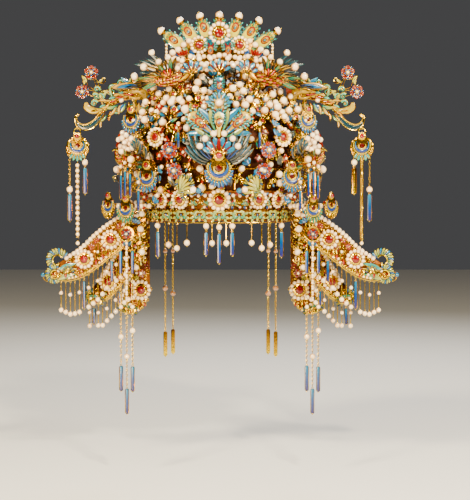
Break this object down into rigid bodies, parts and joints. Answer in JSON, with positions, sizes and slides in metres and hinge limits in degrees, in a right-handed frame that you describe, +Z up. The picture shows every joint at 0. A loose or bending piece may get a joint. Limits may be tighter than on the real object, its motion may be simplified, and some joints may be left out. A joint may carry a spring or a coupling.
{
  "type": "phoenix crown",
  "caption": "East Asian phoenix crown of gilt metal with blue and teal enamel, pearls and red stones, temple wings, bead fringes and two swinging side drops.",
  "frame": {"origin": "centre of the rim of the cap, where the head goes in", "axes": "+Z up out of the top of the cap, -Y towards the front, +X towards the right in a front view"},
  "size_m": [0.4692, 0.257, 0.5205],
  "materials": {
    "gilt": "polished gilt",
    "blue_enamel": "glossy kingfisher-blue enamel",
    "teal_enamel": "glossy teal enamel",
    "red_stone": "glossy red stone"
  },
  "bodies": {
    "crown": {"back_plaque": "blue_enamel", "brow_band": "gilt", "brow_rosette_1": "red_stone", "brow_rosette_2": "red_stone", "brow_rosette_3": "red_stone", "brow_rosette_4": "red_stone", "brow_rosette_5": "red_stone", "cap_frame": "gilt", "cloud_edging": "teal_enamel", "crest_plaque": "gilt", "crest_plume_1": "teal_enamel", "crest_plume_2": "teal_enamel", "crest_plume_3": "teal_enamel", "crest_plume_4": "teal_enamel", "crest_plume_5": "teal_enamel", "crest_plume_6": "teal_enamel", "crest_plume_7": "teal_enamel", "dragon_arm_left": "gilt", "dragon_arm_right": "gilt", "front_fringe": "gilt", "front_wing_fringe_left": "gilt", "front_wing_fringe_right": "gilt", "front_wing_left": "teal_enamel", "front_wing_right": "teal_enamel", "lower_flower_left": "red_stone", "lower_flower_right": "red_stone", "main_crescent_left": "blue_enamel", "main_crescent_right": "blue_enamel", "middle_rosette_left": "red_stone", "middle_rosette_right": "red_stone", "middle_wing_fringe_left": "gilt", "middle_wing_fringe_right": "gilt", "middle_wing_left": "teal_enamel", "middle_wing_right": "teal_enamel", "petal_fan_left": "blue_enamel", "petal_fan_right": "blue_enamel", "phoenix_medallion": "blue_enamel", "phoenix_tail": "teal_enamel", "phoenix_wing_left": "blue_enamel", "phoenix_wing_right": "blue_enamel", "rear_crescent_left": "blue_enamel", "rear_crescent_right": "blue_enamel", "rear_strands_left": "gilt", "rear_strands_right": "gilt", "rear_wing_left": "teal_enamel", "rear_wing_right": "teal_enamel", "side_crescent_left": "blue_enamel", "side_crescent_right": "blue_enamel", "spring_flowers_left": "red_stone", "spring_flowers_right": "red_stone", "temple_strands_left": "gilt", "temple_strands_right": "gilt", "upper_crescent_left": "blue_enamel", "upper_crescent_right": "blue_enamel", "upper_flower_left": "red_stone", "upper_flower_right": "red_stone", "upper_phoenix_left": "gilt", "upper_phoenix_right": "gilt"},
    "left_drop": {"arm_drop_left": "blue_enamel"},
    "right_drop": {"arm_drop_right": "blue_enamel"}
  },
  "joints": [
    {"name": "left_drop_swing", "type": "hinge", "parent": "crown", "child": "left_drop", "pos_m": [-0.185, -0.045, 0.1117], "axis": [1, 0, 0], "range_deg": [-25, 25]},
    {"name": "right_drop_swing", "type": "hinge", "parent": "crown", "child": "right_drop", "pos_m": [0.185, -0.045, 0.1117], "axis": [1, 0, 0], "range_deg": [-25, 25]}
  ]
}
